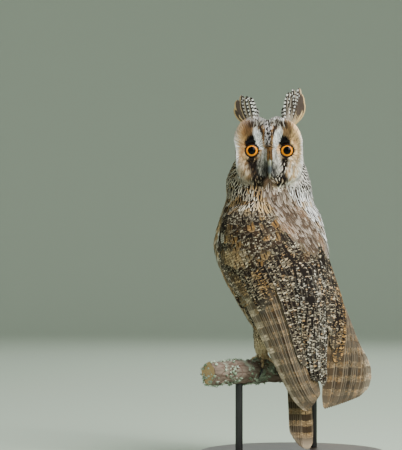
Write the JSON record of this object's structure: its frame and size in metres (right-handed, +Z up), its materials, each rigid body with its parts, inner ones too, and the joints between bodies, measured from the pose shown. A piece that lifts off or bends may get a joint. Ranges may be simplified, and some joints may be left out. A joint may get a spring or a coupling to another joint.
{
  "type": "long-eared owl model",
  "caption": "Life-size still long-eared owl seen from behind, head turned to face back, perched on a cut branch held on rods over a round base",
  "frame": {"origin": "middle of the base's underside, on the surface the model stands on", "axes": "+Z up, the face looks along -Y, +X to the viewer's right"},
  "size_m": [0.206, 0.206, 0.4109],
  "materials": {
    "face_feathers": "soft matt feathers, tan facial disc with white brows and black about the eyes",
    "body_feathers": "soft matt feathers, buff with dark streaks below, grey-brown and vermiculated above",
    "wing_feathers": "vanes with dark bars, fine black and white vermiculation and ochre patches",
    "tail_feathers": "grey-brown vanes with narrow dark bars",
    "ear_tuft_feathers": "black-brown vanes edged white and buff",
    "eye": "glossy orange iris with a black pupil under a clear front",
    "bill_horn": "satin dark grey horn, paler along the ridge and tip",
    "leg_feathers": "short dense buff feathering",
    "claw_horn": "glossy black horn",
    "bark": "rough grey-brown bark with pale green lichen",
    "stand_wood": "dark stained turned wood, satin",
    "stand_metal": "matt black steel rod"
  },
  "bodies": {
    "root": {"head": "face_feathers", "neck": "body_feathers", "torso": "body_feathers", "wing_left": "wing_feathers", "wing_right": "wing_feathers", "tail": "tail_feathers", "ear_tuft_left": "ear_tuft_feathers", "ear_tuft_right": "ear_tuft_feathers", "eye_left": "eye", "eye_right": "eye", "bill_upper": "bill_horn", "bill_lower": "bill_horn", "leg_left": "leg_feathers", "leg_right": "leg_feathers", "foot_left": "leg_feathers", "foot_right": "leg_feathers", "claw_left_1": "claw_horn", "claw_left_2": "claw_horn", "claw_left_3": "claw_horn", "claw_left_4": "claw_horn", "claw_right_1": "claw_horn", "claw_right_2": "claw_horn", "claw_right_3": "claw_horn", "claw_right_4": "claw_horn", "perch": "bark", "stand_base": "stand_wood", "stand_rod_left": "stand_metal", "stand_rod_right": "stand_metal"}
  },
  "joints": []
}
